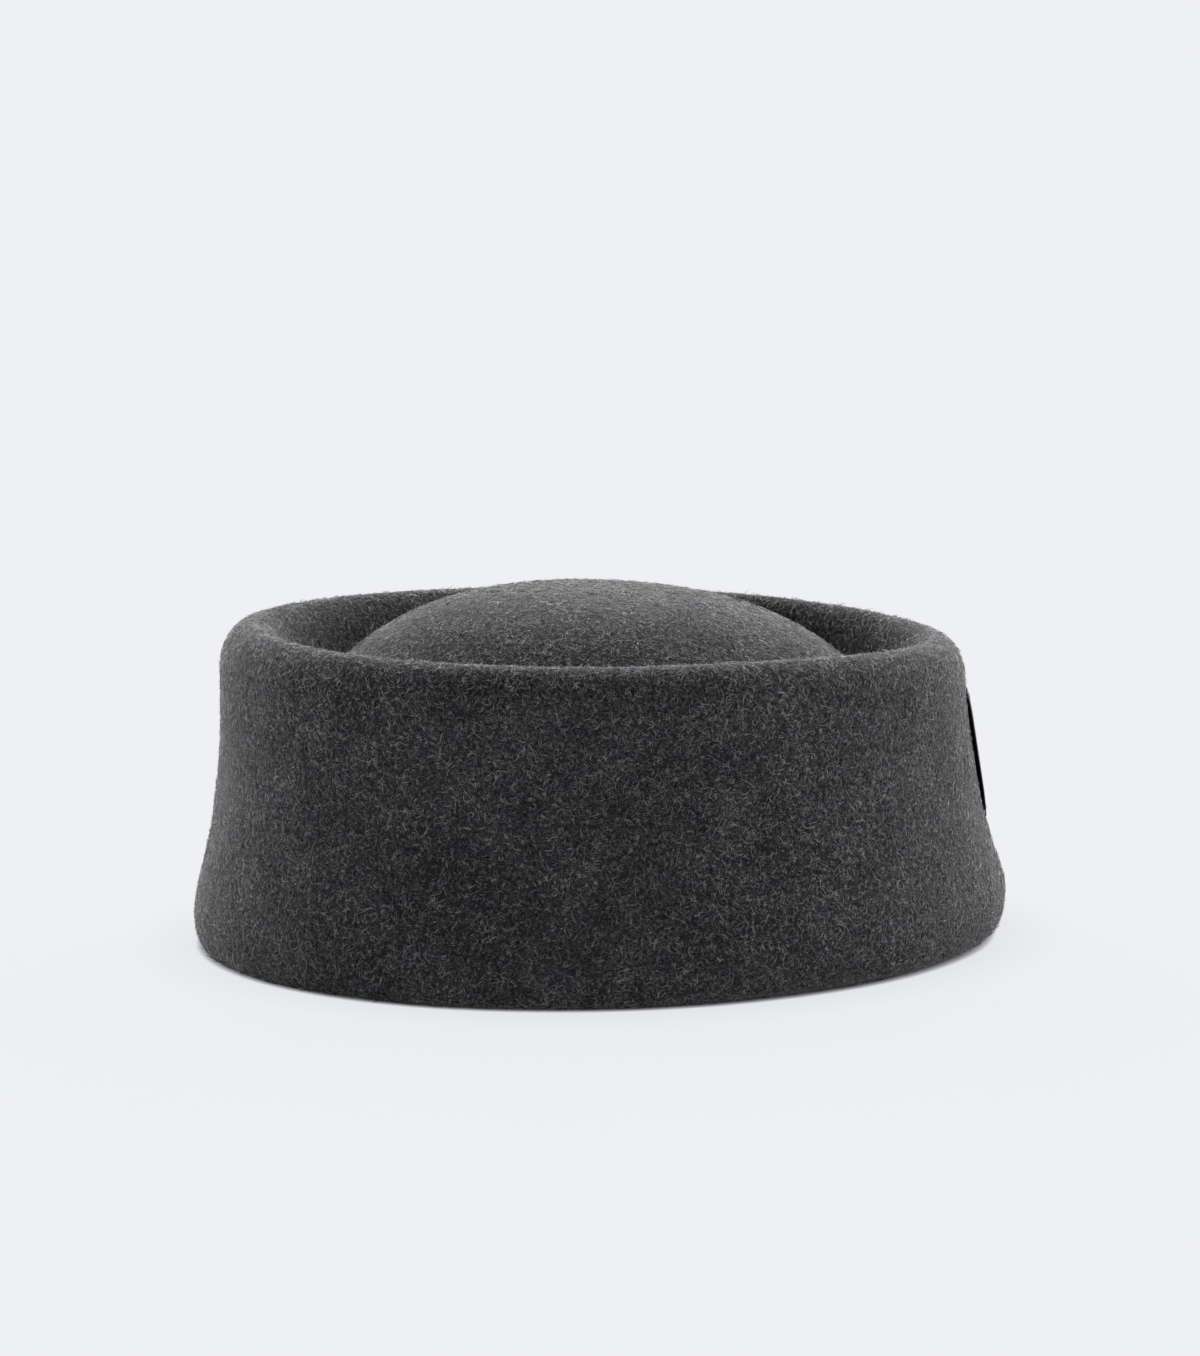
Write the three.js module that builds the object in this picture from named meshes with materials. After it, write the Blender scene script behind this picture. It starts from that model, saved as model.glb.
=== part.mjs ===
// A felt pillbox hat, blocked from one piece of wool felt, with a plain label at its back.
// Millimetres, +Z up. The hat stands on its rim at z = 0, its front at -X and its back at +X.

import * as THREE from 'three';

// Driving dimensions of the felt.
const FELT = 2.8;
const HALF_LENGTH = 104.6;
const HALF_WIDTH = 90.1;
const OVAL_TAPER = 0.03;

// The crest of the ridge: its mean height, and how it rises and falls round the oval.
const CREST_HEIGHT = 79.8;
const CREST_WAVES = [
  { turns: 1, along: -2.8, across: -0.5 },
  { turns: 2, along: -0.6, across: -0.1 },
  { turns: 3, along: -0.4, across: 0.1 },
];

// The outer wall, from the shoulder of the ridge down to the floor. A level is a share of the
// crest's height there, and front and back say how far the wall stands in from the widest oval.
const WALL = [
  { level: 0.86, front: 7.1, back: 11.1 },
  { level: 0.74, front: 7.3, back: 10.3 },
  { level: 0.6, front: 7.0, back: 8.7 },
  { level: 0.46, front: 5.9, back: 6.7 },
  { level: 0.34, front: 4.4, back: 4.7 },
  { level: 0.24, front: 2.4, back: 1.7 },
  { level: 0.16, front: 0.7, back: 0.0 },
  { level: 0.1, front: 0.0, back: 0.5 },
  { level: 0.05, front: 0.4, back: 1.3 },
  { level: 0.02, front: 1.3, back: 3.2 },
  { level: 0.0, front: 2.7, back: 7.8 },
];

// The ridge, folded over to the inside: its width, and how far its inner side drops.
const RIDGE = {
  width: { front: 16.6, back: 14.4 },
  drop: { front: 15.9, back: 14.1 },
};

// The valley between the ridge and the dome. A share runs from the ridge to the dome's edge,
// and a drop is the depth below that edge.
const VALLEY = [
  { share: 0.1, drop: 1.2 },
  { share: 0.4, drop: 2.6 },
  { share: 0.75, drop: 1.8 },
];

// The dome: the oval of its edge, its top, the fall from top to edge, and its lean.
const DOME = {
  centreX: 0.8,
  halfLength: 74,
  halfWidth: 59,
  top: 89.4,
  fall: 27.3,
  roundness: 3,
  leanAlong: -3.5,
  leanAcross: 1.4,
};

// The hem: the felt turned up inside the rim, with its cut edge, and the flat that meets the floor.
const HEM_EDGE_LEVEL = 0.205;
const HEM_TOP_LEVEL = 0.22;
const HEM_ROOT_LEVEL = 0.225;
const HEM_EDGE_ROUND = 0.7;
const INNER_FACE_FOOT_LEVEL = 0.3;
const CONTACT_WIDTH = 1.8;

// The label: a woven patch at the back, straight from its lower to its upper edge.
const LABEL = {
  width: 50,
  bottom: 30.4,
  top: 62.4,
  thickness: 0.4,
  gap: 0.4,
  columns: 14,
};

// How finely the round shapes are cut into flats.
const STATIONS = 60;
const RIDGE_STEPS = 8;
const HALVINGS = 40;
const DOME_SHARES = [1.0, 0.93, 0.84, 0.74, 0.62, 0.48, 0.32, 0.15];

const feltMaterial = new THREE.MeshStandardMaterial({ color: 0x4b4c4e, roughness: 0.95, metalness: 0 });
const labelMaterial = new THREE.MeshStandardMaterial({ color: 0x0d0d0e, roughness: 0.8, metalness: 0 });

/** A size that changes evenly along the hat from its front value to its back value. */
function alongHat(front, back, angle) {
  return THREE.MathUtils.lerp(front, back, (1 + Math.cos(angle)) / 2);
}

/** The height of the ridge's crest at an angle round the oval. */
function crestHeight(angle) {
  return CREST_WAVES.reduce((height, { turns, along, across }) => {
    return height + along * Math.cos(turns * angle) + across * Math.sin(turns * angle);
  }, CREST_HEIGHT);
}

/** A point at a height, standing in from the widest oval by a distance square to that oval. */
function insetPoint(angle, inset, height) {
  const [cos, sin] = [Math.cos(angle), Math.sin(angle)];
  const taper = 1 - OVAL_TAPER * cos;
  const tangent = new THREE.Vector2(
    -HALF_LENGTH * sin,
    HALF_WIDTH * (cos * taper + OVAL_TAPER * sin * sin),
  ).normalize();
  return new THREE.Vector3(
    HALF_LENGTH * cos - tangent.y * inset,
    HALF_WIDTH * sin * taper + tangent.x * inset,
    height,
  );
}

/** How far the outer wall stands in at any level, between the rows of its table. */
function wallInset(level, angle) {
  const below = WALL.findIndex((row) => row.level <= level);
  const upper = WALL[Math.max(below - 1, 0)];
  const lower = WALL[below];
  const share = upper === lower ? 0 : (level - lower.level) / (upper.level - lower.level);
  return THREE.MathUtils.lerp(
    alongHat(lower.front, lower.back, angle),
    alongHat(upper.front, upper.back, angle),
    share,
  );
}

/** A point of the outer wall at a level, moved further in by a distance. */
function wallPoint(angle, level, further = 0) {
  return insetPoint(angle, wallInset(level, angle) + further, level * crestHeight(angle));
}

/** A point of the ridge, from its outer shoulder at turn 0 over the crest to its inner foot at turn 1. */
function ridgePoint(angle, turn) {
  const shoulder = WALL[0].level;
  const crest = crestHeight(angle);
  const width = alongHat(RIDGE.width.front, RIDGE.width.back, angle);
  const innerDrop = alongHat(RIDGE.drop.front, RIDGE.drop.back, angle);
  const drop = turn < 0.5 ? crest * (1 - shoulder) : innerDrop;
  return insetPoint(
    angle,
    wallInset(shoulder, angle) + (width / 2) * (1 - Math.cos(Math.PI * turn)),
    crest - drop * (1 - Math.sin(Math.PI * turn)),
  );
}

/** A point of the dome, from its top at share 0 to its edge at share 1. */
function domePoint(angle, share) {
  const along = share * Math.cos(angle);
  const across = share * Math.sin(angle);
  return new THREE.Vector3(
    DOME.centreX + DOME.halfLength * along,
    DOME.halfWidth * across,
    DOME.top - DOME.fall * share ** DOME.roundness + DOME.leanAlong * along + DOME.leanAcross * across,
  );
}

/** A point of the valley floor, at a share of the way from the ridge's inner foot to the dome's edge. */
function valleyPoint(angle, { share, drop }) {
  const edge = domePoint(angle, 1);
  const point = ridgePoint(angle, 1).lerp(edge, share);
  return point.setZ(edge.z - drop);
}

/** One ring of points round the hat. */
function ring(pointAt) {
  return Array.from({ length: STATIONS }, (_, station) => pointAt((2 * Math.PI * station) / STATIONS));
}

/** A skin that starts at a pole and runs from ring to ring, and ends at a second pole if there is one. */
function skin(firstPole, rings, lastPole) {
  const points = [firstPole, ...rings.flat()];
  const faces = [];
  const at = (row, station) => 1 + row * STATIONS + (station % STATIONS);
  const last = rings.length - 1;
  for (let station = 0; station < STATIONS; station += 1) {
    faces.push(0, at(0, station), at(0, station + 1));
    for (let row = 1; row <= last; row += 1) {
      faces.push(at(row, station), at(row, station + 1), at(row - 1, station + 1));
      faces.push(at(row, station), at(row - 1, station + 1), at(row - 1, station));
    }
    if (lastPole) {
      faces.push(points.length, at(last, station + 1), at(last, station));
    }
  }
  const geometry = new THREE.BufferGeometry().setFromPoints(lastPole ? [...points, lastPole] : points);
  geometry.setIndex(faces);
  geometry.computeVertexNormals();
  return geometry;
}

/** The rings of the felt's outer face, from beside the dome's top, over the ridge and down to the floor. */
function outerRings() {
  const ridgeTurns = Array.from({ length: RIDGE_STEPS }, (_, step) => 1 - step / RIDGE_STEPS);
  return [
    ...DOME_SHARES.toReversed().map((share) => ring((angle) => domePoint(angle, share))),
    ...VALLEY.toReversed().map((row) => ring((angle) => valleyPoint(angle, row))),
    ...ridgeTurns.map((turn) => ring((angle) => ridgePoint(angle, turn))),
    ...WALL.map((row) => ring((angle) => wallPoint(angle, row.level))),
  ];
}

/** The rings of the hem, from the flat on the floor up the turned-in layer to the root of its cut edge. */
function hemRings() {
  const layers = 2 * FELT;
  const faceLevels = WALL.map((row) => row.level).filter((level) => level > 0 && level < HEM_EDGE_LEVEL);
  return [
    ring((angle) => wallPoint(angle, 0, CONTACT_WIDTH)),
    ...faceLevels.toReversed().map((level) => ring((angle) => wallPoint(angle, level, layers))),
    ring((angle) => wallPoint(angle, HEM_EDGE_LEVEL, layers)),
    ring((angle) => wallPoint(angle, HEM_TOP_LEVEL, layers - HEM_EDGE_ROUND)),
    ring((angle) => wallPoint(angle, HEM_ROOT_LEVEL, FELT)),
  ];
}

/** The felt body: one closed shell whose inner face lies a felt's thickness behind the outer one. */
function feltBody() {
  const rings = outerRings();
  const top = domePoint(0, 0);
  const outerFace = skin(top, rings);
  const position = outerFace.getAttribute('position');
  const normal = outerFace.getAttribute('normal');
  const behind = (index) => new THREE.Vector3()
    .fromBufferAttribute(position, index)
    .addScaledVector(new THREE.Vector3().fromBufferAttribute(normal, index), -FELT);

  // Above the shoulder every second ring is enough for the inner face, and the hem takes its lowest rows.
  const shoulderRow = rings.length - WALL.length;
  const hemRow = shoulderRow + WALL.findIndex((row) => row.level < INNER_FACE_FOOT_LEVEL);
  const innerRings = rings
    .map((points, row) => points.map((_, station) => behind(1 + row * STATIONS + station)))
    .filter((_, row) => (row < shoulderRow ? row % 2 === 1 : row < hemRow));

  return skin(top, [...rings, ...hemRings(), ...innerRings.toReversed()], behind(0));
}

/** The angle at which the outer wall passes a distance across the hat, at a level at the back. */
function angleAcross(across, level) {
  let [low, high] = [-Math.PI / 4, Math.PI / 4];
  for (let halving = 0; halving < HALVINGS; halving += 1) {
    const middle = (low + high) / 2;
    [low, high] = wallPoint(middle, level).y < across ? [middle, high] : [low, middle];
  }
  return (low + high) / 2;
}

/** The label: a thin box bent round the back wall, touching down along its lower and upper edges. */
function backLabel() {
  const height = LABEL.top - LABEL.bottom;
  const geometry = new THREE.BoxGeometry(LABEL.thickness, LABEL.width, height, 1, LABEL.columns, 1);
  geometry.translate(LABEL.gap + LABEL.thickness / 2, 0, (LABEL.top + LABEL.bottom) / 2);
  const position = geometry.getAttribute('position');
  for (let index = 0; index < position.count; index += 1) {
    const across = position.getY(index);
    const level = position.getZ(index) / crestHeight(0);
    const wall = wallPoint(angleAcross(across, level), level);
    position.setX(index, position.getX(index) + wall.x);
  }
  geometry.computeVertexNormals();
  return geometry;
}

/** A named piece of the hat. */
function piece(name, geometry, material) {
  const mesh = new THREE.Mesh(geometry, material);
  mesh.name = name;
  return mesh;
}

const hat = new THREE.Group();
hat.add(
  piece('felt_body', feltBody(), feltMaterial),
  piece('back_label', backLabel(), labelMaterial),
);

export default hat;
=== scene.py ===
"""Looks of a grey felt pillbox hat: a smooth felt shell with loose fibres, and a woven patch at its back."""
import math

import bmesh
import bpy
import numpy as np
from mathutils import Euler, Matrix, Vector, noise
from mathutils.bvhtree import BVHTree


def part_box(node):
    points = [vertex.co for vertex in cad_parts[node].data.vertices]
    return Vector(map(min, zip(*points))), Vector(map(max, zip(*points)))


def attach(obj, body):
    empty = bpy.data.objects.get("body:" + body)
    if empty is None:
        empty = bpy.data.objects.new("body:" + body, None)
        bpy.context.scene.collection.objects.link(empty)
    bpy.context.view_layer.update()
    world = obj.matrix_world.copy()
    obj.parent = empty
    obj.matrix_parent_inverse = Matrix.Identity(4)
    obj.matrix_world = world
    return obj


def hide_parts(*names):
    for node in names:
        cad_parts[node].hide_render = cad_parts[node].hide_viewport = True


MM = 0.001

# The camera, as the photograph was taken: a long lens, a little above the hat and a little to its front.
IMAGE_HEIGHT_PX = 1356
SENSOR_HEIGHT_MM = 36.0
FOCAL_LENGTH_PX = 5090.0
CAMERA_DISTANCE = 1291.6 * MM
CAMERA_TURN = math.radians(15.1)
CAMERA_PITCH = math.radians(9.2)
CAMERA_TARGET = Vector((-0.7, 0.1, 66.2)) * MM
CAMERA_REACH = 60.0

# The studio: a wide floor that glows evenly, the reach of a painted dark shadow line where the rim meets it,
# the reach of a painted soft shade round that line and how much of this shade shows, and the dim room.
BACKDROP_COLOR = (0.856, 0.863, 0.895, 1.0)
FLOOR_HALF_SIDE = 30.0
FLOOR_GREY = (0.02, 0.02, 0.0205, 1.0)
FLOOR_GLOW = 0.96
FLOOR_CONTACT_SHADOW = 2 * MM
FLOOR_SHADE = 20 * MM
FLOOR_SHADE_SHOWN = 0.08
FLOOR_SHADE_SAMPLES = 8
ROOM_GLOW = 0.01

# The soft lights above and behind the hat, in degrees. A light's turn is counted from behind the hat, as the
# camera sees it, towards the right.
SOFT_LIGHTS = [
    {"name": "overhead", "turn": 0, "height": 55, "spread": 60, "strength": 2.8},
    {"name": "back", "turn": 0, "height": 25, "spread": 60, "strength": 1.7},
    {"name": "back_right", "turn": 40, "height": 25, "spread": 60, "strength": 4.0},
    {"name": "back_left", "turn": -40, "height": 25, "spread": 60, "strength": 4.3},
    {"name": "right", "turn": 90, "height": 10, "spread": 40, "strength": 0.75},
]

# The felt's shape: how closely points merge, which triangles pair up to quads, how often the skin is
# smoothed, and the slow unevenness that blocking by hand leaves in it.
MERGE_DISTANCE = 0.001 * MM
QUAD_BEND = math.radians(60)
QUAD_SKEW = math.radians(70)
SMOOTHING = 2
WAVE_LENGTH = 34 * MM
WAVE_HEIGHT = 0.2 * MM

# Where the values of a soft noise mostly lie.
NOISE_RANGE = (0.3, 0.7)

# The dark ground of the felt: a heather that drifts from a cool to a warm charcoal, with clumps and a grain
# whose darkest spots are partly painted shade in the pits between the fibres.
HEATHER_SIZE = 6 * MM
HEATHER = [
    (0.34, (0.017, 0.020, 0.030)),
    (0.5, (0.021, 0.022, 0.026)),
    (0.66, (0.027, 0.026, 0.022)),
]
CLUMP_SIZE = 2.4 * MM
CLUMP_SHADES = (0.9, 1.1)
GRAIN_SIZE = 0.5 * MM
GRAIN_RANGE = (0.35, 0.7)
GRAIN_AND_PIT_SHADE = (0.3, 2.0)
FELT_RELIEF = {"strength": 0.7, "depth": 0.15 * MM}

# The fibres that show in the felt's surface, in layers: how wide their curls are, how thick the fibres are,
# how much of them shows, and how pale they are. Sizes are in millimetres.
FELT_FIBRES = [
    {"curl": 0.6, "thickness": 0.14, "hidden": (0.2, 0.55), "paleness": 0.055},
    {"curl": 0.53, "thickness": 0.13, "hidden": (0.33, 0.64), "paleness": 0.145},
    {"curl": 0.8, "thickness": 0.14, "hidden": (0.42, 0.72), "paleness": 0.36},
]
FIBRE_LAYER_SHIFT = 0.1
CURL_WARP = 0.6
CURL_STEEPNESS = 0.45
BREAKS_IN_A_CURL = 0.7

# The tints of these fibres: cool, neutral, olive and warm.
FIBRE_TINT_SIZE = 1.4 * MM
FIBRE_TINTS = [
    (0.36, (0.93, 0.97, 1.10)),
    (0.47, (1.0, 1.0, 1.02)),
    (0.54, (1.04, 1.0, 0.87)),
    (0.64, (1.06, 1.0, 0.90)),
]

# Soft paler and darker patches, the same in the felt and in its loose fibres.
PATCH_SIZE = 11 * MM
PATCH_SHADES = (0.8, 1.2)

# The nap: loose fibres on the felt. A share of 1 is as many as the open side of the felt carries. Lengths and
# thicknesses are in millimetres, reach, swing and rise are shares of the length, and tone is the pair of
# weights that says how many of the fibres are pale and how many are dark.
NAP_SEED = 11
NAP_SHARE_INSIDE = 0.25
NAP_LOOKOUT = 0.3 * MM
NAP_ROOT_DEPTH = 0.06 * MM
NAP_ARCH = 1.5
NAP_KINDS = {
    "nap_lying": {
        "pieces": 2,
        "count": 32000,
        "sides": 3,
        "rings": 1,
        "length": (0.9, 2.4),
        "reach": (1.0, 1.0),
        "curl": 0.6,
        "swing": 0.0,
        "rise": (0.03, 0.2),
        "thickness": 0.16,
        "tone": (1.2, 1.0),
    },
    "nap_curled": {
        "pieces": 1,
        "count": 10500,
        "sides": 3,
        "rings": 3,
        "length": (1.6, 3.6),
        "reach": (0.8, 1.0),
        "curl": 0.6,
        "swing": 0.14,
        "rise": (0.03, 0.25),
        "thickness": 0.14,
        "tone": (1.3, 0.9),
    },
    "nap_upright": {
        "pieces": 2,
        "count": 35000,
        "sides": 2,
        "rings": 1,
        "length": (0.4, 1.1),
        "reach": (0.2, 0.9),
        "curl": 0.0,
        "swing": 0.0,
        "rise": (0.5, 1.1),
        "thickness": 0.07,
        "tone": (2.5, 1.0),
    },
}

# The colours of the loose fibres, from charcoal to pale grey, and the painted shade that darkens them towards
# their roots, next to the felt.
NAP_TONES = [
    (0.0, (0.020, 0.023, 0.031)),
    (0.3, (0.057, 0.062, 0.076)),
    (0.5, (0.170, 0.162, 0.130)),
    (0.65, (0.200, 0.208, 0.240)),
    (0.8, (0.450, 0.430, 0.375)),
    (1.0, (0.750, 0.720, 0.670)),
]
NAP_ROOT_SHARE = 0.5
NAP_ROOT_PAINTED_SHADE = (0.6, 1.0)

# The map of a loose fibre: across it by tone, with a sliver for the fibre's own width, and up it from root to
# tip, with a margin.
NAP_MAP_MARGIN = 0.01
NAP_MAP_TONES = 0.97
NAP_MAP_WIDTH = 0.01
NAP_MAP_ROOT = 0.02
NAP_MAP_LENGTH = 0.96

# The label: its rows, its soft edges, how far it is pulled in where it is sewn, and its plain weave.
LABEL_EDGE = 0.1 * MM
LABEL_ROWS = 15
LABEL_PULL = 0.38 * MM
LABEL_PULL_REACH = 7.0 * MM
LABEL_BLACKS = ((0.004, 0.004, 0.0045, 1.0), (0.016, 0.016, 0.018, 1.0))
LABEL_ROUGHNESS = (0.85, 0.6)
WEAVE_PITCH = 0.42 * MM
WEAVE_RELIEF = {"strength": 0.7, "depth": 0.08 * MM}
LINT_SIZE = 1.1 * MM
LINT_SHADES = (0.5, 1.2)

# The label's stitches, and the twisted thread that they are sewn with.
STITCH_INSET = 1.7 * MM
STITCH_PITCH = 3.0 * MM
STITCH_LENGTH = 2.5 * MM
STITCH_THICKNESS = 0.36 * MM
THREAD_BLACKS = ((0.006, 0.006, 0.007, 1.0), (0.03, 0.03, 0.033, 1.0))
THREAD_ROUGHNESS = (0.7, 0.45)
THREAD_TWIST = 0.9 / MM
THREAD_RELIEF = {"strength": 0.5, "depth": 0.05 * MM}

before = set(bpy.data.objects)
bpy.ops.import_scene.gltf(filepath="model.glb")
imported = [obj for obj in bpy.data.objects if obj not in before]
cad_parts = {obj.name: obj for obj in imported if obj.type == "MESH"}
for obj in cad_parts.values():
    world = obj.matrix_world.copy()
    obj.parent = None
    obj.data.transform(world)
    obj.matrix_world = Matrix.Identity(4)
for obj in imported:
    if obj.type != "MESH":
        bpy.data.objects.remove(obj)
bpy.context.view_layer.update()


# Small helpers

def add_node(tree, kind, inputs=None, **settings):
    """A shader node with its settings, its inputs set to values or linked to other nodes' outputs."""
    node = tree.nodes.new(kind)
    for name, value in settings.items():
        setattr(node, name, value)
    for name, value in (inputs or {}).items():
        if isinstance(value, bpy.types.NodeSocket):
            tree.links.new(value, node.inputs[name])
        else:
            node.inputs[name].default_value = value
    return node


def combine(tree, operation, first, second=0.0):
    """The output of a Math node."""
    return add_node(tree, "ShaderNodeMath", {0: first, 1: second}, operation=operation).outputs["Value"]


def remap(tree, value, low, high, to_low=0.0, to_high=1.0):
    """A value carried from one range to another, and held at its ends."""
    inputs = {"Value": value, "From Min": low, "From Max": high, "To Min": to_low, "To Max": to_high}
    return add_node(tree, "ShaderNodeMapRange", inputs).outputs["Result"]


def mix_colors(tree, share, first, second, blend="MIX"):
    """Two colours mixed by a share."""
    node = add_node(tree, "ShaderNodeMix", data_type="RGBA", blend_type=blend)
    for socket, value in ((node.inputs[0], share), (node.inputs[6], first), (node.inputs[7], second)):
        if isinstance(value, bpy.types.NodeSocket):
            tree.links.new(value, socket)
        else:
            socket.default_value = value
    return node.outputs[2]


def shade_color(tree, color, shade):
    """A colour times a shade."""
    return mix_colors(tree, 1.0, color, shade, blend="MULTIPLY")


def color_ramp(tree, value, stops):
    """A colour for a value, from a list of places and colours."""
    node = add_node(tree, "ShaderNodeValToRGB", {"Fac": value})
    elements = node.color_ramp.elements
    while len(elements) < len(stops):
        elements.new(1.0)
    for element, (place, color) in zip(elements, stops):
        element.position = place
        element.color = (*color, 1.0)
    return node.outputs["Color"]


def object_place(tree):
    """The place on the piece, in metres."""
    return add_node(tree, "ShaderNodeTexCoord").outputs["Object"]


def soft_noise(tree, place, size, detail=0.0, warp=0.0):
    """A soft noise round 0.5, with blots of a size."""
    inputs = {"Vector": place, "Scale": 1 / size, "Detail": detail, "Distortion": warp}
    return add_node(tree, "ShaderNodeTexNoise", inputs).outputs["Fac"]


def openness(tree, reach):
    """How open a point is, from 0 in a closed nook to 1 where nothing stands within reach of it."""
    node = add_node(tree, "ShaderNodeAmbientOcclusion", {"Distance": reach}, samples=FLOOR_SHADE_SAMPLES)
    return node.outputs["AO"]


def new_material(name, **finish):
    """A material with one Principled shader, and the finish that is the same all over it."""
    material = bpy.data.materials.new(name)
    material.use_nodes = True
    tree = material.node_tree
    tree.nodes.clear()
    shader = add_node(tree, "ShaderNodeBsdfPrincipled", {k.replace("_", " "): v for k, v in finish.items()})
    output = add_node(tree, "ShaderNodeOutputMaterial")
    tree.links.new(shader.outputs["BSDF"], output.inputs["Surface"])
    return material, tree, shader


def add_relief(tree, shader, height, strength, depth):
    """Fine relief for a shader, from a map of its height."""
    bump = add_node(tree, "ShaderNodeBump", {"Height": height, "Strength": strength, "Distance": depth})
    tree.links.new(bump.outputs["Normal"], shader.inputs["Normal"])


def add_object(name, mesh):
    """A mesh as an object in the scene, at the origin."""
    piece = bpy.data.objects.new(name, mesh)
    bpy.context.scene.collection.objects.link(piece)
    return piece


def mesh_from(bm, name):
    """A mesh made from a bmesh, which is then freed."""
    mesh = bpy.data.meshes.new(name)
    bm.to_mesh(mesh)
    bm.free()
    return mesh


def smooth_shaded(mesh):
    """The mesh, shaded smooth."""
    mesh.polygons.foreach_set("use_smooth", [True] * len(mesh.polygons))
    return mesh


def surface_tree(mesh):
    """A mesh's faces, ready to be hit by rays."""
    return BVHTree.FromPolygons([v.co for v in mesh.vertices], [p.vertices for p in mesh.polygons])


def merged_copy(node_name):
    """A copy of a frame node with its loose triangles merged, in pairs where they make a quad."""
    bm = bmesh.new()
    bm.from_mesh(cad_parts[node_name].data)
    bmesh.ops.remove_doubles(bm, verts=bm.verts, dist=MERGE_DISTANCE)
    bmesh.ops.join_triangles(
        bm,
        faces=bm.faces,
        angle_face_threshold=QUAD_BEND,
        angle_shape_threshold=QUAD_SKEW,
    )
    return bm


# The camera, the floor and the light

def add_camera():
    """The photograph's view of the hat."""
    camera_data = bpy.data.cameras.new("camera")
    camera_data.sensor_fit = "VERTICAL"
    camera_data.sensor_height = SENSOR_HEIGHT_MM
    camera_data.lens = FOCAL_LENGTH_PX * SENSOR_HEIGHT_MM / IMAGE_HEIGHT_PX
    camera_data.clip_end = CAMERA_REACH
    camera = bpy.data.objects.new("camera", camera_data)
    bpy.context.scene.collection.objects.link(camera)
    sight = Vector((
        math.sin(CAMERA_TURN) * math.cos(CAMERA_PITCH),
        math.cos(CAMERA_TURN) * math.cos(CAMERA_PITCH),
        -math.sin(CAMERA_PITCH),
    ))
    camera.location = CAMERA_TARGET - sight * CAMERA_DISTANCE
    camera.rotation_euler = Euler((math.pi / 2 - CAMERA_PITCH, 0.0, -CAMERA_TURN))
    bpy.context.scene.camera = camera


def add_floor():
    """A wide pale floor that glows, with painted shade close to the hat: a dark shadow line at the rim and a
    faint soft shade round it as the camera sees it, and less glow there, so that it hardly lights the hat
    from below.
    """
    bm = bmesh.new()
    bmesh.ops.create_grid(bm, x_segments=1, y_segments=1, size=FLOOR_HALF_SIDE)
    floor = add_object("floor", mesh_from(bm, "floor"))
    material, tree, shader = new_material(
        "pale floor",
        Base_Color=FLOOR_GREY,
        Roughness=1.0,
        Specular_IOR_Level=0.0,
        Emission_Strength=FLOOR_GLOW,
    )
    # Painted shade in the floor's glow: a thin dark shadow line under the rim and a faint soft shade round it
    # for the camera, and a wider shade in the glow that lights the hat.
    contact_shadow = openness(tree, FLOOR_CONTACT_SHADOW)
    nearby = openness(tree, FLOOR_SHADE)
    shade = combine(tree, "MULTIPLY", nearby, nearby)
    painted_shade_seen = combine(tree, "MULTIPLY", contact_shadow, remap(tree, shade, 0.0, 1.0, 1.0 - FLOOR_SHADE_SHOWN, 1.0))
    backdrop = add_node(tree, "ShaderNodeLightPath").outputs["Is Camera Ray"]
    glow = mix_colors(tree, backdrop, shade, painted_shade_seen)
    tree.links.new(shade_color(tree, BACKDROP_COLOR, glow), shader.inputs["Emission Color"])
    floor.data.materials.append(material)


def add_lights():
    """A pale room, dim on the hat but bright behind it, and the wide soft lights."""
    world = bpy.data.worlds.new("studio")
    bpy.context.scene.world = world
    world.use_nodes = True
    tree = world.node_tree
    backdrop = add_node(tree, "ShaderNodeLightPath").outputs["Is Camera Ray"]
    strength = remap(tree, backdrop, 0.0, 1.0, ROOM_GLOW, 1.0)
    background = tree.nodes["Background"]
    background.inputs["Color"].default_value = BACKDROP_COLOR
    tree.links.new(strength, background.inputs["Strength"])

    for spec in SOFT_LIGHTS:
        lamp = bpy.data.lights.new(spec["name"], "SUN")
        lamp.angle = math.radians(spec["spread"])
        lamp.energy = spec["strength"]
        light = bpy.data.objects.new(spec["name"], lamp)
        bpy.context.scene.collection.objects.link(light)
        tilt = math.pi / 2 - math.radians(spec["height"])
        light.rotation_euler = Euler((-tilt, 0.0, -CAMERA_TURN - math.radians(spec["turn"])))


# The felt

def patchiness():
    """A node group with a slow change of shade, which the felt and its loose fibres share."""
    tree = bpy.data.node_groups.new("felt patchiness", "ShaderNodeTree")
    tree.interface.new_socket("Shade", in_out="OUTPUT", socket_type="NodeSocketFloat")
    patches = soft_noise(tree, object_place(tree), PATCH_SIZE, detail=1.0)
    add_node(tree, "NodeGroupOutput", {"Shade": remap(tree, patches, *NOISE_RANGE, *PATCH_SHADES)})
    return tree


def fibre_strokes(tree, place, spec):
    """A mask of thin curly strokes, like single fibres in the felt's surface."""
    curl = spec["curl"] * MM
    curls = soft_noise(tree, place, curl, warp=CURL_WARP)
    level = combine(tree, "ABSOLUTE", combine(tree, "SUBTRACT", curls, 0.5))
    strokes = remap(tree, level, 0.0, spec["thickness"] * CURL_STEEPNESS / spec["curl"], 1.0, 0.0)
    breaks = soft_noise(tree, place, curl / BREAKS_IN_A_CURL)
    return combine(tree, "MULTIPLY", strokes, remap(tree, breaks, *spec["hidden"]))


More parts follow.
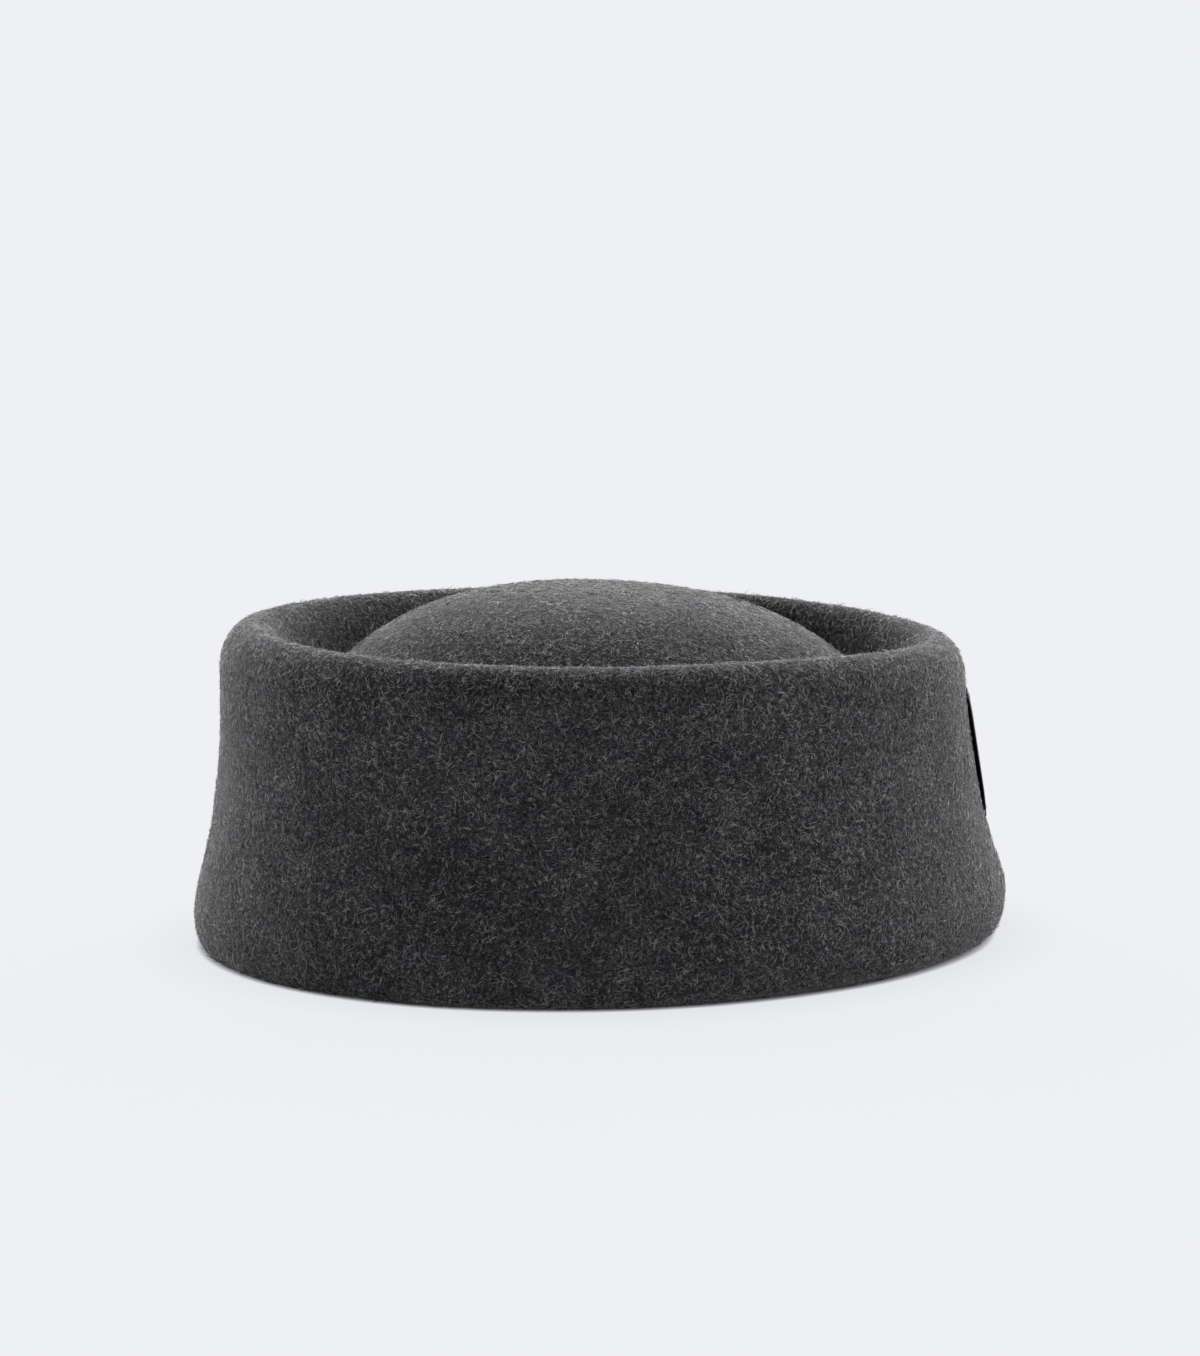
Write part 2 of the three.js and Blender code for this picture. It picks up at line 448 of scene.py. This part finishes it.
def felt_material(patches):
    """Charcoal wool felt: a dark mottled ground under paler curly strokes in cool, warm and olive greys."""
    material, tree, shader = new_material(
        "grey felt",
        Roughness=1.0,
        Specular_IOR_Level=0.1,
        Sheen_Weight=0.6,
        Sheen_Roughness=0.2,
        Sheen_Tint=(0.95, 0.96, 1.0, 1.0),
    )
    place = object_place(tree)
    heather = color_ramp(tree, soft_noise(tree, place, HEATHER_SIZE, detail=3.0), HEATHER)
    clumps = soft_noise(tree, place, CLUMP_SIZE, detail=2.0)
    grain = soft_noise(tree, place, GRAIN_SIZE, detail=1.0)
    # The grain is partly the felt's own speckle and partly painted shade in the pits between the fibres.
    shade = combine(
        tree,
        "MULTIPLY",
        remap(tree, clumps, *NOISE_RANGE, *CLUMP_SHADES),
        remap(tree, grain, *GRAIN_RANGE, *GRAIN_AND_PIT_SHADE),
    )
    color = shade_color(tree, heather, shade)
    tint = color_ramp(tree, soft_noise(tree, place, FIBRE_TINT_SIZE, detail=1.0), FIBRE_TINTS)
    height = grain
    for number, spec in enumerate(FELT_FIBRES):
        shift = (FIBRE_LAYER_SHIFT * number,) * 3
        shifted = add_node(tree, "ShaderNodeVectorMath", {0: place, 1: shift}, operation="ADD")
        strokes = fibre_strokes(tree, shifted.outputs["Vector"], spec)
        fibre = shade_color(tree, tint, (spec["paleness"],) * 3 + (1.0,))
        color = mix_colors(tree, strokes, color, fibre)
        height = combine(tree, "ADD", height, strokes)
    patch = add_node(tree, "ShaderNodeGroup", node_tree=patches).outputs["Shade"]
    tree.links.new(shade_color(tree, color, patch), shader.inputs["Base Color"])
    add_relief(tree, shader, height, **FELT_RELIEF)
    return material


def felt_shell(patches):
    """The felt as one smooth skin from the frame's solid, with a slow unevenness."""
    shell = add_object("felt_shell", mesh_from(merged_copy("felt_body"), "felt_rough"))
    smooth = shell.modifiers.new("smooth", "SUBSURF")
    smooth.levels = smooth.render_levels = SMOOTHING
    depsgraph = bpy.context.evaluated_depsgraph_get()
    mesh = bpy.data.meshes.new_from_object(shell.evaluated_get(depsgraph))
    mesh.name = "felt_shell"
    shell.modifiers.clear()
    shell.data = smooth_shaded(mesh)
    places = [vertex.co.copy() for vertex in mesh.vertices]
    normals = [vertex.normal.copy() for vertex in mesh.vertices]
    for vertex, place, normal in zip(mesh.vertices, places, normals):
        vertex.co = place + normal * WAVE_HEIGHT * noise.noise(place / WAVE_LENGTH)
    mesh.materials.clear()
    mesh.materials.append(felt_material(patches))
    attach(shell, "root")
    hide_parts("felt_body")
    return shell


# The nap

def nap_material(patches):
    """Single wool fibres, from charcoal to pale grey. Each fibre's own map says how pale it is."""
    material, tree, shader = new_material(
        "wool fibre",
        Roughness=0.8,
        Specular_IOR_Level=0.3,
        Sheen_Weight=1.0,
        Sheen_Roughness=0.4,
    )
    fibre_map = add_node(tree, "ShaderNodeUVMap", uv_map="OFBake").outputs["UV"]
    tone, along, _ = add_node(tree, "ShaderNodeSeparateXYZ", {"Vector": fibre_map}).outputs
    color = color_ramp(tree, tone, NAP_TONES)
    patch = add_node(tree, "ShaderNodeGroup", node_tree=patches).outputs["Shade"]
    # Painted shade: each fibre darker towards its root, where it lies against the felt.
    root_shade = remap(tree, along, 0.0, NAP_ROOT_SHARE, *NAP_ROOT_PAINTED_SHADE)
    shade = combine(tree, "MULTIPLY", patch, root_shade)
    tree.links.new(shade_color(tree, color, shade), shader.inputs["Base Color"])
    return material


def felt_triangles(shell):
    """The shell's triangles as arrays: their corners, their normals, and how much nap each one carries."""
    mesh = shell.data
    mesh.calc_loop_triangles()
    corners = np.array([[mesh.vertices[i].co for i in triangle.vertices] for triangle in mesh.loop_triangles])
    cross = np.cross(corners[:, 1] - corners[:, 0], corners[:, 2] - corners[:, 0])
    areas = np.linalg.norm(cross, axis=1)
    normals = cross / areas[:, None]
    surface = surface_tree(mesh)
    label_low, label_high = (np.array(corner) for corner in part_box("back_label"))
    up = Vector((0, 0, 1))
    share = np.empty(len(corners))
    for index, (middle, normal) in enumerate(zip(corners.mean(axis=1), normals)):
        start = Vector(middle + NAP_LOOKOUT * normal)
        outward = Vector((middle[0], middle[1], 0.0)).normalized()
        open_side = any(surface.ray_cast(start, way)[0] is None for way in (up, outward))
        covered = np.all((middle > label_low) & (middle < label_high))
        share[index] = 0.0 if covered else 1.0 if open_side else NAP_SHARE_INSIDE
    return corners, normals, areas * share


def fibre_faces(sides, rings):
    """The triangles of one fibre: a root, rings of two or three points, and a tip. Two make a wedge."""
    tip = 1 + sides * rings
    if sides == 2:
        return np.array([(0, 2, 1), (0, 1, tip), (0, tip, 2), (tip, 1, 2)])
    faces = []
    for corner in range(sides):
        after = (corner + 1) % sides
        faces.append((0, 1 + after, 1 + corner))
        for ring in range(rings - 1):
            here, there = 1 + sides * ring, 1 + sides * (ring + 1)
            faces.append((here + corner, here + after, there + after))
            faces.append((here + corner, there + after, there + corner))
        last = tip - sides
        faces.append((last + corner, last + after, tip))
    return np.array(faces)


def fibre_points(spec, triangles, draws):
    """The points of many fibres, a row for each and none below the floor, and how pale each fibre is."""
    corners, normals, weights = triangles
    count, sides = spec["count"], spec["sides"]
    picks = draws.choice(len(corners), size=count, p=weights / weights.sum())
    blend = draws.dirichlet((1, 1, 1), size=count)
    root = (corners[picks] * blend[:, :, None]).sum(axis=1)
    normal = normals[picks]
    side = np.cross(normal, draws.normal(size=(count, 3)))
    side /= np.linalg.norm(side, axis=1, keepdims=True)
    ahead = np.cross(side, normal)
    length = draws.uniform(*spec["length"], size=(count, 1)) * MM
    reach = length * draws.uniform(*spec["reach"], size=(count, 1))
    rise = length * draws.uniform(*spec["rise"], size=(count, 1))
    curl = draws.normal(0.0, spec["curl"], size=(count, 1))
    start = draws.uniform(0.0, 2 * math.pi, size=(count, 1))
    tone = draws.beta(*spec["tone"], size=count)

    radius = spec["thickness"] / 2 * MM
    path = []
    for share in np.linspace(0.0, 1.0, spec["rings"] + 2):
        level = rise * share * (NAP_ARCH - share) - NAP_ROOT_DEPTH
        swing = length * spec["swing"] * np.sin(start + 2 * math.pi * share)
        point = root + reach * share * (ahead + side * curl * share) + side * swing + normal * level
        point[:, 2] = np.maximum(point[:, 2], radius)
        path.append(point)
    points = [path[0]]
    for middle in path[1:-1]:
        for corner in range(sides):
            turn = 2 * math.pi * corner / sides
            points.append(middle + radius * (side * math.cos(turn) + normal * math.sin(turn)))
    points.append(path[-1])
    return np.stack(points, axis=1), tone


def fibre_maps(spec, tone):
    """The place of every point of every fibre on the map of its material."""
    sides, rings = spec["sides"], spec["rings"]
    shares = np.linspace(0.0, 1.0, rings + 2)
    height = np.concatenate([[0.0], np.repeat(shares[1:-1], sides), [1.0]])
    width = np.concatenate([[0.5], np.tile(np.linspace(0.0, 1.0, sides), rings), [0.5]])
    across = NAP_MAP_MARGIN + NAP_MAP_TONES * tone[:, None] + NAP_MAP_WIDTH * width[None]
    along = np.broadcast_to(NAP_MAP_ROOT + NAP_MAP_LENGTH * height, across.shape)
    return np.stack([across, along], axis=2).reshape(-1, 2)


def nap_piece(name, spec, triangles, draws, material):
    """Many loose fibres as one mesh. Each one is a thin bent spindle or a short wedge."""
    points, tone = fibre_points(spec, triangles, draws)
    faces = fibre_faces(spec["sides"], spec["rings"])
    starts = points.shape[1] * np.arange(spec["count"])[:, None, None]
    all_faces = (faces[None] + starts).reshape(-1, 3)
    mesh = bpy.data.meshes.new(name)
    mesh.from_pydata(points.reshape(-1, 3).tolist(), [], all_faces.tolist())
    layer = mesh.uv_layers.new(name="OFBake")
    layer.data.foreach_set("uv", fibre_maps(spec, tone)[all_faces.ravel()].ravel())
    mesh.materials.append(material)
    piece = add_object(name, smooth_shaded(mesh))
    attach(piece, "root")


def add_nap(shell, patches):
    """All the loose fibres, in pieces."""
    triangles = felt_triangles(shell)
    material = nap_material(patches)
    draws = np.random.default_rng(NAP_SEED)
    for kind, spec in NAP_KINDS.items():
        for number in range(1, spec["pieces"] + 1):
            nap_piece(f"{kind}_{number}", spec, triangles, draws, material)


# The label

def label_material():
    """Black cloth in a plain weave, matt."""
    material, tree, shader = new_material(
        "black label cloth",
        Specular_IOR_Level=0.15,
        Sheen_Weight=0.05,
        Sheen_Roughness=0.5,
    )
    place = object_place(tree)
    across, up = add_node(tree, "ShaderNodeSeparateXYZ", {"Vector": place}).outputs[1:3]
    warp = combine(tree, "SINE", combine(tree, "MULTIPLY", across, 2 * math.pi / WEAVE_PITCH))
    weft = combine(tree, "SINE", combine(tree, "MULTIPLY", up, 2 * math.pi / WEAVE_PITCH))
    weave = remap(tree, combine(tree, "MULTIPLY", warp, weft), -1.0, 1.0)
    lint = soft_noise(tree, place, LINT_SIZE, detail=3.0)
    shade = combine(tree, "MULTIPLY", weave, remap(tree, lint, *NOISE_RANGE, *LINT_SHADES))
    tree.links.new(mix_colors(tree, shade, *LABEL_BLACKS), shader.inputs["Base Color"])
    tree.links.new(remap(tree, shade, 0.0, 1.0, *LABEL_ROUGHNESS), shader.inputs["Roughness"])
    add_relief(tree, shader, weave, **WEAVE_RELIEF)
    return material


def thread_material():
    """Black sewing thread, twisted."""
    material, tree, shader = new_material("black thread", Specular_IOR_Level=0.5)
    inputs = {"Vector": object_place(tree), "Scale": THREAD_TWIST}
    twist = add_node(tree, "ShaderNodeTexWave", inputs, bands_direction="DIAGONAL").outputs["Fac"]
    tree.links.new(mix_colors(tree, twist, *THREAD_BLACKS), shader.inputs["Base Color"])
    tree.links.new(remap(tree, twist, 0.0, 1.0, *THREAD_ROUGHNESS), shader.inputs["Roughness"])
    add_relief(tree, shader, twist, **THREAD_RELIEF)
    return material


def label_cloth():
    """The label with soft edges, drawn in to the felt along its lower and upper edges."""
    low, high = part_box("back_label")
    half_height = (high[2] - low[2]) / 2
    bm = merged_copy("back_label")
    upright = [edge for edge in bm.edges if abs(edge.verts[0].co.z - edge.verts[1].co.z) > half_height]
    bmesh.ops.subdivide_edges(bm, edges=upright, cuts=LABEL_ROWS, use_grid_fill=True)
    sharp = [edge for edge in bm.edges if edge.calc_face_angle() > math.pi / 4]
    bmesh.ops.bevel(
        bm,
        geom=sharp,
        offset=LABEL_EDGE,
        segments=2,
        profile=0.5,
        affect="EDGES",
        material=-1,
    )
    for vert in bm.verts:
        inset = min(vert.co.z - low[2], high[2] - vert.co.z)
        near = max(0.0, 1.0 - inset / LABEL_PULL_REACH)
        vert.co.x -= LABEL_PULL * near * near
    label = add_object("label_cloth", smooth_shaded(mesh_from(bm, "label_cloth")))
    smooth = label.modifiers.new("smooth", "SUBSURF")
    smooth.levels = smooth.render_levels = 1
    label.data.materials.clear()
    label.data.materials.append(label_material())
    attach(label, "root")
    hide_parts("back_label")
    return label


def label_stitches(label):
    """A row of stitches along the label's lower edge and one along its upper edge."""
    low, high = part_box("back_label")
    face = surface_tree(label.data)
    width = high[1] - low[1] - 2 * STITCH_INSET
    count = int(width / STITCH_PITCH)
    size = Vector((STITCH_THICKNESS, STITCH_LENGTH, STITCH_THICKNESS)) / 2
    bm = bmesh.new()
    for up in (low[2] + STITCH_INSET, high[2] - STITCH_INSET):
        for number in range(count + 1):
            across = low[1] + STITCH_INSET + width * (number + 0.5) / (count + 1)
            spot, normal = face.ray_cast(Vector((high[0] + 5 * MM, across, up)), Vector((-1, 0, 0)))[:2]
            turn = Euler((0.0, 0.0, math.atan2(normal.y, normal.x)))
            shape = Matrix.LocRotScale(spot, turn, size)
            bmesh.ops.create_uvsphere(bm, u_segments=8, v_segments=6, radius=1.0, matrix=shape)
    stitches = add_object("label_stitches", smooth_shaded(mesh_from(bm, "label_stitches")))
    stitches.data.materials.append(thread_material())
    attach(stitches, "root")
    return stitches


def add_label():
    """The label and its stitches."""
    label = label_cloth()
    stitches = label_stitches(label)


add_camera()
add_floor()
add_lights()
bpy.context.scene.view_settings.view_transform = "Standard"
felt_patches = patchiness()
add_nap(felt_shell(felt_patches), felt_patches)
add_label()
